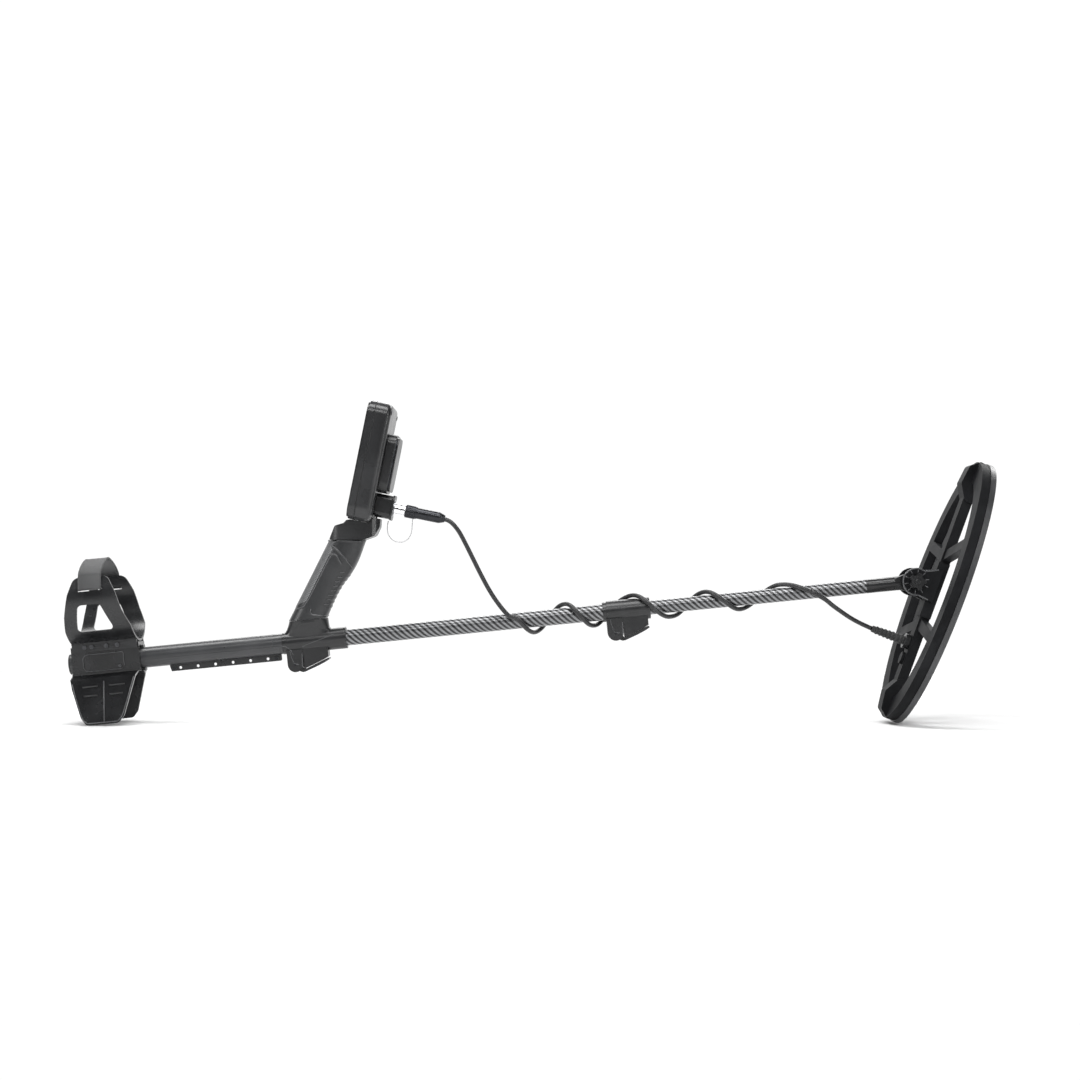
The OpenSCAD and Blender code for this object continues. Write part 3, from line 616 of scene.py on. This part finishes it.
GRIP_SIDES = 64
SEAM_T, NECK_Z = 24.3, 203.1
SHAFT_NORMAL = Vector((-AXIS.z, 0, AXIS.x))
GRIP_UP = (GRIP.to_3x3() @ Vector((0, 0, 1))).normalized()


def grip_outline(z):
    """Front and back reach of the grip and its half width, at a height along it."""
    swell = 2.6 * bump_at(z, 76, 30)
    waist = 1.6 * bump_at(z, 34, 30)
    return 18.2 + swell - waist, 18.3, 15.3 + 0.3 * swell - 0.4 * waist


def on_grip(x, y, z, low=0.0, high=0.0):
    """A point of the grip, kept between the seam over the foot and the one under the neck."""
    p = put(GRIP, x, y, z)
    above = (p - SHAFT.translation).dot(SHAFT_NORMAL) - (SEAM_T + low) * MM
    if above < 0:
        p -= GRIP_UP * above / GRIP_UP.dot(SHAFT_NORMAL)
    over = p.z - (NECK_Z - high) * MM
    if over > 0:
        p -= GRIP_UP * over / GRIP_UP.z
    return p


FINGER_RIBS = [22 + 5.6 * i for i in range(8)]
# The raised lines on the side of the grip, as places in its side view; pale tubes along them paint their
# highlights
PALM_LINE = [
    (-15.5, 2), (-9.5, 8), (-8.2, 20), (-8.2, 68), (-7.4, 72.5), (-5.4, 75), (-2.4, 75), (6.6, 68.6),
]
THUMB_LINE = [(-14, 83.2), (-7.7, 81.6), (5.0, 77.4), (18.3, 70.6)]
FRONT_LINE = [(-1.0, 9.5), (0.0, 5.5), (4.0, 4.5), (18.5, 10.5)]
TOP_LINE = [(-11.4, 80.8), (-10.8, 87.7), (-7.8, 91), (14.5, 100.6)]


SIDE_LINES = (PALM_LINE, THUMB_LINE, FRONT_LINE, TOP_LINE)
# Pale dashes on the finger ribs: painted highlights
FINGER_DASHES = [[(9.5, z - 1.6), (13.5, z + 0.6)] for z in FINGER_RIBS]
GRIP_POWER = 2.4
LINE_WIDTH, LINE_RISE, LINE_R, LINE_STEP = 1.1, 0.8, 0.42, 1.5


def between(line, step):
    """The points of a line, with more put in so that none are further apart than step."""
    out = []
    for a, b in zip(line, line[1:]):
        count = max(1, math.ceil(math.dist(a, b) / step))
        out += [tuple(u + (v - u) * i / count for u, v in zip(a, b)) for i in range(count)]
    return out + [line[-1]]


def grip_side(x, z, side):
    """The point of the grip's skin over a place in its side view."""
    front, back, half = grip_outline(z)
    across = min(1.0, abs(x) / (front if x > 0 else back))
    bulge = (1 - across ** GRIP_POWER) ** (1 / GRIP_POWER)
    return on_grip(x, side * (half * bulge + LINE_RISE - 0.05), z)


def near_line(x, z, line, width):
    """1 on a line drawn through points in the grip's side view, 0 at width from it."""
    best = width
    for (x0, z0), (x1, z1) in zip(line, line[1:]):
        dx, dz = x1 - x0, z1 - z0
        f = max(0.0, min(1.0, ((x - x0) * dx + (z - z0) * dz) / (dx * dx + dz * dz)))
        best = min(best, math.hypot(x - x0 - f * dx, z - z0 - f * dz))
    return bump_at(best, 0, width)


def make_grip():
    """The rubber sleeve: swelling front, finger ribs and raised panel lines, with pale tubes on the lines
    and ribs as painted highlights.
    """
    low, high, steps = -19.0, 108.0, 150
    rings = []
    for k in range(steps + 1):
        z = low + (high - low) * k / steps
        front, back, side = grip_outline(z)
        ring = []
        for u, v in superellipse(1, 1, GRIP_POWER, 2 * GRIP_SIDES):
            x, y = (front if u > 0 else back) * u, side * v
            rib = max(bump_at(z + 5.0 * abs(v), r, 1.7) for r in FINGER_RIBS)
            rise = 0.8 * rib * max(0.0, u - 0.35) * (1 if 16 < z < 66 else 0)
            lines = max(near_line(x, z, line, LINE_WIDTH) for line in SIDE_LINES)
            y += math.copysign(LINE_RISE * lines, v) * min(1.0, abs(v) * 3)
            ring.append(on_grip(x + rise, y, z))
        rings.append(ring)
    body = stand_for(loft("grip_sleeve", rings, 0), "grip_rubber")
    add_bevel(body, 0.7, 2, 50)
    add_normals(body)
    for side in (-1, 1):
        for i, line in enumerate((*SIDE_LINES, *FINGER_DASHES)):
            points = [grip_side(x, z, side) for x, z in between(line, LINE_STEP)]
            piece = tube(f"grip_line_highlight_{i}_{side}", points, LINE_R * MM, 6)
            piece.parent = body
            paint(piece, MATERIALS["grip_line_highlight"])


def make_grip_insert():
    """The hatched strip let into the back of the grip, bounded by the palm line."""
    bm = bmesh.new()
    low, high, across, up = 3.0, 99.0, 16, 60
    grid = []
    for j in range(up + 1):
        z = low + (high - low) * j / up
        _, back, side = grip_outline(z)
        taper = min(1.0, 0.25 + (z - low) / 16, 0.4 + (high - z) / 20)
        row = []
        for i in range(across + 1):
            a = math.radians((i / across * 2 - 1) * 62 * taper)
            c, s = math.cos(a), math.sin(a)
            x = -(back + 0.3) * abs(c) ** (2 / GRIP_POWER)
            y = (side + 0.3) * math.copysign(abs(s) ** (2 / GRIP_POWER), s)
            row.append(bm.verts.new(on_grip(x, y, z, 0.8, 0.8)))
        grid.append(row)
    for a, b in zip(grid, grid[1:]):
        for i in range(across):
            bm.faces.new((a[i], a[i + 1], b[i + 1], b[i]))
    obj = mesh_object("grip_palm_strip", bm)
    thick = obj.modifiers.new("thick", "SOLIDIFY")
    thick.thickness = 1.4 * MM
    thick.offset = -1
    add_bevel(obj, 0.3, 2, 50)
    stand_for(obj, "grip_back_insert")


SADDLE_R = 10.15
FOOT_S, FOOT_REACH, FOOT_HALF = 267, 36, 10.2


def make_handle_foot():
    """The base of the grip runs out into the sleeve round the tube in one soft sweep."""
    rings = []
    # height above the shaft's axis, rear and front reach along it, half width
    sweep = [
        (3, 231, 303, 10.2), (6, 232.5, 300, 10.5), (9, 236.0, 295.0, 11.0), (12, 239.5, 290.6, 12.0),
        (15, 241.6, 288.2, 13.0), (18, 243.0, 287.2, 14.0), (21, 244.2, 287.2, 14.8),
        (23.2, 244.9, 287.7, 15.1), (24.0, 245.3, 287.9, 15.0),
    ]
    # The underside is a saddle over the tubes, which slide through below it
    inner = [(sweep[0][0], FOOT_S - FOOT_REACH * f, FOOT_S + FOOT_REACH * f, FOOT_HALF * f)
             for f in (0.05, 0.35, 0.65, 0.85)]
    for t, rear, front, half in inner + sweep:
        middle, reach = (rear + front) / 2, (front - rear) / 2
        rings.append([
            put(SHAFT, middle + x, y, max(t, math.sqrt(max(0.0, SADDLE_R ** 2 - y * y))))
            for x, y in superellipse(reach, half, GRIP_POWER, GRIP_SIDES)])
    foot = loft("handle_foot", rings, 0)
    add_bevel(foot, 0.5, 2, 50)
    add_normals(foot)
    return foot


def make_handle_frame():
    """Sleeve and lock block keep the CAD's bores; the foot is swept over them."""
    body = refined("handle_frame", 0.7, 2)
    foot = make_handle_foot()
    foot.parent = body
    paint(foot, material_of("handle_frame"))
    return body


make_grip()
make_grip_insert()
handle_body = make_handle_frame()


# ---------------------------------------------------------------- mouldings and turned parts

# How far the edges of each moulding are rounded, in millimetres
EDGES = {
    "neck_collar": 0.9, "pod_front_cover": 1.2, "battery_cover": 1.6, "socket_housing": 0.8,
    "armrest_cuff": 0.5, "armrest_stand": 0.35, "armrest_clamp_pads": 0.4,
    "front_lock_body": 0.7, "front_lock_lever": 0.5, "rear_lock_lever": 0.5,
    "lower_end_fitting": 0.5, "coil_shell": 1.1, "skid_cover": 0.8, "cable_gland": 0.6,
    "strain_relief": 0.4, "coil_nut": 0.8, "coil_bolt": 0.6, "plug_backshell": 0.5,
    "plug_coupling_nut": 0.4, "plug_barrel": 0.4, "rear_tube": 0.25, "rear_tube_end_cap": 0.4,
    "accessory_rail": 0.25, "display_window": 0.3,
}
for key in ("power", "menu", "minus", "plus", "pinpoint"):
    EDGES["key_" + key] = 0.6
mouldings = {part: refined(part, width) for part, width in EDGES.items()}
mouldings["handle_frame"] = handle_body


def part_of(obj, part, material=None):
    """obj is a raised or sunk detail of one of the mouldings."""
    body = mouldings[part]
    obj.parent = body
    paint(obj, material or material_of(part))


def bead(name, part, points, radius, m, sides=8):
    """A raised line on a moulding, through points of the frame m, in paler plastic: a painted highlight."""
    part_of(tube(name, [put(m, *p) for p in points], radius * MM, sides), part, MATERIALS["painted_edge_highlight"])


def draped(name, part, line, side, radius):
    """A raised line laid on the side of a moulding, given in the shaft's side view, in paler plastic: a
    painted highlight.
    """
    mesh = nodes[part].data
    skin = BVHTree.FromPolygons([v.co for v in mesh.vertices], [p.vertices for p in mesh.polygons])
    way = SHAFT.to_3x3() @ Vector((0, -side, 0))
    points = []
    for s, t in between(line, 1.0):
        hit = skin.ray_cast(put(SHAFT, s, side * 90, t), way)[0]
        if hit is not None:
            points.append(hit)
    if len(points) > 1:
        part_of(tube(name, points, radius * MM, 6), part, MATERIALS["painted_edge_highlight"])


def arc_points(x, z, radius, start, stop, y, count=24):
    out = []
    for i in range(count + 1):
        a = math.radians(start + (stop - start) * i / count)
        out.append((x + radius * math.cos(a), y, z + radius * math.sin(a)))
    return out


# ---------------------------------------------------------------- armrest's legs

LEG_TOP, LEG_FOOT = (29.9, -16.5), (40.4, -67.2)
LEG_EDGE = [(5.4, -21), (8.6, -36), (13.9, -56.6), (16.2, -61.8), (20.4, -65.2), (53.0, -65.2),
            (57.6, -61.6), (60.4, -55.5), (64.8, -43.4), (69.6, -29.5), (73.4, -18.5)]
LEG_RIB = [(40.3, -20.5), (39.6, -40), (38.6, -64.6)]
LEG_SLOTS = [(16.5, 33.0, -25.6), (45.8, 63.0, -25.6), (17.5, 32.5, -35.4), (45.8, 60.5, -35.4)]


def leg_face(side, s, t, lift=0.0):
    """A point on the outer face of a leg."""
    f = (t - LEG_TOP[1]) / (LEG_FOOT[1] - LEG_TOP[1])
    return s, side * (LEG_TOP[0] + f * (LEG_FOOT[0] - LEG_TOP[0]) + lift), t


CLAMP_OVAL = [
    (58, -9.3), (23, -9.3), (18.5, -8.2), (16.5, -5), (16.5, 5), (18.5, 8.2), (23, 9.3), (60, 9.3),
    (61.5, 7.5), (61.5, -6),
]
SADDLE_LINE = [(5, 14.2), (78, 14.2)]


# Clamp oval, saddle line, leg rims and rib: raised lines in paler plastic, painted highlights
def make_leg_details(side, tag):
    draped("clamp_oval_" + tag, "armrest_stand", CLAMP_OVAL, side, 0.5)
    draped("saddle_line_" + tag, "armrest_stand", SADDLE_LINE, side, 0.45)
    edge = [leg_face(side, s, t, -0.2) for s, t in LEG_EDGE]
    bead("leg_edge_" + tag, "armrest_stand", edge, 0.75, SHAFT)
    bead("leg_rib_" + tag, "armrest_stand", [leg_face(side, s, t, -0.1) for s, t in LEG_RIB], 0.8, SHAFT)
    for i, (s0, s1, t) in enumerate(LEG_SLOTS):
        ends = [put(SHAFT, *leg_face(side, s, t, -0.55)) for s in (s0, s1)]
        slot = tube(f"leg_slot_{tag}_{i}", ends, 0.9 * MM, 8)
        part_of(slot, "armrest_stand", MATERIALS["seal_rubber"])


for side, tag in ((-1, "near"), (1, "far")):
    make_leg_details(side, tag)


# ---------------------------------------------------------------- coil's ears and the locks

EAR_R, EAR_FACE = 15.5, 16.0


def make_ear_details(side, tag):
    """A raised rim round the D of the ear, and ribs running in towards the bolt, in paler plastic: painted
    highlights.
    """
    y = side * (EAR_FACE - 0.3)
    rim = [(PIVOT_A + 20.6, y, 17.5), *arc_points(PIVOT_A, PIVOT_H, EAR_R - 0.9, -19, 205, y, 40),
           (PIVOT_A - 14.6, y, 17.5)]
    bead("ear_rim_" + tag, "coil_shell", rim, 1.0, COIL)
    for i in range(10):
        a = math.radians(36 * i + 12)
        ends = [(PIVOT_A + r * math.cos(a), y, PIVOT_H + r * math.sin(a)) for r in (8.6, EAR_R - 1.4)]
        bead(f"ear_rib_{tag}_{i}", "coil_shell", ends, 0.55, COIL, 6)


def make_lock_lines(part, pin_s, side, tag):
    """The U drawn on a lock's cheek, and the edge in front of it, as pale raised lines: painted highlights.
    """
    draped(part + "_u_" + tag, part, [
        (pin_s - 5.0, -8), (pin_s - 4.0, -14), (pin_s - 1.6, -22.4), (pin_s - 0.4, -24.0),
        (pin_s + 4.2, -24.2),
    ], side, 0.4)
    draped(part + "_edge_" + tag, part, [(pin_s + 8.4, -13), (pin_s + 7.6, -28)], side, 0.7)


FRONT_PIN_S, REAR_PIN_S = 604.5, 248.5
# Raised lines on the handle's sleeve in paler plastic: painted highlights
SLEEVE_LINES = [
    [(222, -1.8), (232, -2.2), (238, -2.6), (242, -4.5), (245, -8.5), (247, -13)],
    [(258, -5), (262, -3.5), (280, 1.5), (294, 5.6)],
]


for side, tag in ((-1, "near"), (1, "far")):
    make_ear_details(side, tag)
    make_lock_lines("front_lock_body", FRONT_PIN_S, side, tag)
    make_lock_lines("handle_frame", REAR_PIN_S, side, tag)
    for i, line in enumerate(SLEEVE_LINES):
        draped(f"sleeve_line_{tag}_{i}", "handle_frame", line, side, 0.45)


# ---------------------------------------------------------------- control box

POD_W, POD_H, POD_R = 92, 132, 15
BACK_FROM, BACK_TO, BACK_ROUND = -4.5, 13.5, 6.0


def rounded_outline(width, height, radius, x, count=8):
    """A ring of points in the control box's frame: a rounded rectangle at depth x."""
    out = []
    corners = ((1, 1, 0), (-1, 1, 90), (-1, -1, 180), (1, -1, 270))
    for sy, sz, start in corners:
        for i in range(count + 1):
            a = math.radians(start + 90 * i / count)
            out.append(put(POD, x, sy * (width / 2 - radius) + radius * math.cos(a),
                           sz * (height / 2 - radius) + radius * math.sin(a)))
    return out


def make_back_shell():
    """The back shell curves over into its flat back with a wide soft edge."""
    steps = [(BACK_FROM, 0.5), (BACK_FROM + 0.4, 0.0)]
    for i in range(9):
        a = math.radians(90 * i / 8)
        steps.append((BACK_TO - BACK_ROUND * (1 - math.sin(a)), BACK_ROUND * (1 - math.cos(a))))
    rings = [rounded_outline(POD_W - 2 * d, POD_H - 2 * d, POD_R - d * 0.8, x) for x, d in steps]
    shell = stand_for(loft("back_shell_curved", rings, 0), "pod_back_shell")
    add_normals(shell)
    return shell


make_back_shell()


# ---------------------------------------------------------------- strap

STRAP_TURNS, STRAP_TOP, STRAP_WIDE = 26, 114.4, 0.025


def make_strap():
    """A flat woven tape over the wings, turned in at the slots, with thicker selvedges."""
    cuff_r, cuff_t, lean = 51.0, 70.0, 2 / 1.4
    half = [(cuff_r - 4, 80.1), (cuff_r - 1, 80.1), (cuff_r + 0.7, 80.3)]
    for i in range(6):
        a = math.radians(13 + 17 * i / 5)
        half.append(((cuff_r + 1.4) * math.cos(a), cuff_t + (cuff_r + 1.4) * math.sin(a)))
    foot_y, foot_t = half[-1]
    for i in range(1, STRAP_TURNS + 1):
        a = math.pi / 2 * i / STRAP_TURNS
        half.append((
            foot_y * max(math.cos(a), 0) ** lean,
            foot_t + (STRAP_TOP - foot_t) * math.sin(a) ** lean,
        ))
    line = half + [(-y, t) for y, t in reversed(half[:-1])]
    profile = [(27.0, 0.1), (27.0, 0.95), (28.6, 0.95), (28.9, 0.75), (50.1, 0.75), (50.4, 0.95),
               (52.0, 0.95), (52.0, 0.1), (50.4, 0.1), (50.1, 0.25), (28.9, 0.25), (28.6, 0.1)]
    bm = bmesh.new()
    rows = []
    for i, (y, t) in enumerate(line):
        a, b = line[max(i - 1, 0)], line[min(i + 1, len(line) - 1)]
        dy, dt = b[0] - a[0], b[1] - a[1]
        size = math.hypot(dy, dt)
        ny, nt = dt / size, -dy / size
        rows.append([bm.verts.new(put(SHAFT, s, y + ny * (h - 0.5) * 1.5, t + nt * (h - 0.5) * 1.5))
                     for s, h in profile])
    n = len(profile)
    for a, b in zip(rows, rows[1:]):
        for j in range(n):
            k = (j + 1) % n
            bm.faces.new((a[j], a[k], b[k], b[j]))
    bm.faces.new(rows[0][::-1])
    bm.faces.new(rows[-1])
    strap = stand_for(mesh_object("strap_tape", bm), "arm_strap")


make_strap()


# ---------------------------------------------------------------- what keeps its CAD shape

for name, obj in nodes.items():
    if not obj.hide_render:
        paint(obj, material_of(name))
        for p in obj.data.polygons:
            p.use_smooth = True
        obj.data.set_sharp_from_angle(angle=math.radians(30))


# ---------------------------------------------------------------- studio

def flat_material(name, colour, rough):
    m, tree = new_material(name)
    shader = node(tree, "ShaderNodeBsdfPrincipled", {"Base Color": (*colour, 1), "Roughness": rough})
    return finish_material(m, tree, shader)


FLOOR_R, FLOOR_SIDES = 1.45, 96


def make_floor():
    """A round pale table top, which ends where it is still fully lit."""
    bm = bmesh.new()
    turns = [2 * math.pi * i / FLOOR_SIDES for i in range(FLOOR_SIDES)]
    bm.faces.new([bm.verts.new((FLOOR_R * math.cos(a), FLOOR_R * math.sin(a), 0)) for a in turns])
    floor = mesh_object("floor", bm, smooth=False)
    floor.location.z = -0.0002
    paint(floor, flat_material("floor", (0.82, 0.82, 0.82), 0.9))


def area_light(name, place, aim, size, power):
    data = bpy.data.lights.new(name, "AREA")
    data.shape = "RECTANGLE"
    data.size, data.size_y = size
    data.energy = power
    light = bpy.data.objects.new(name, data)
    light.location = place
    light.rotation_euler = (Vector(aim) - Vector(place)).to_track_quat("-Z", "Y").to_euler()
    bpy.context.scene.collection.objects.link(light)


def make_light():
    """A studio that is white beyond the part and dim on the near side, with five soft lights."""
    world = bpy.data.worlds.new("studio")
    world.use_nodes = True
    tree = world.node_tree
    way = node(tree, "ShaderNodeSeparateXYZ", {0: node(tree, "ShaderNodeTexCoord").outputs["Generated"]})
    far_side = ramp(tree, way.outputs[1], 0.06, 1.04, 0.3, 0.75)
    below = ramp(tree, way.outputs[2], 1.04, 0.0, -0.02, 0.0)
    glow = math_node(tree, "MAXIMUM", far_side, below)
    tree.nodes["Background"].inputs[0].default_value = (1, 1, 1, 1)
    tree.links.new(glow, tree.nodes["Background"].inputs[1])
    bpy.context.scene.world = world
    area_light("top", (-0.3, -0.3, 1.9), (-0.1, 0, 0.1), (2.4, 0.6), 40)
    area_light("front", (0.1, -2.4, 2.0), (0, 0, 0.15), (2.0, 0.3), 26)
    area_light("strip_left", (-1.9, -1.2, 0.9), (-0.2, 0, 0.15), (0.3, 1.5), 18)
    area_light("strip_right", (1.7, -1.5, 0.8), (0.3, 0, 0.15), (0.25, 1.4), 12)
    area_light("back", (0.4, 2.0, 1.6), (0, 0.5, 0), (2.8, 0.8), 34)
    bpy.context.scene.view_settings.view_transform = "Standard"


make_floor()
make_light()
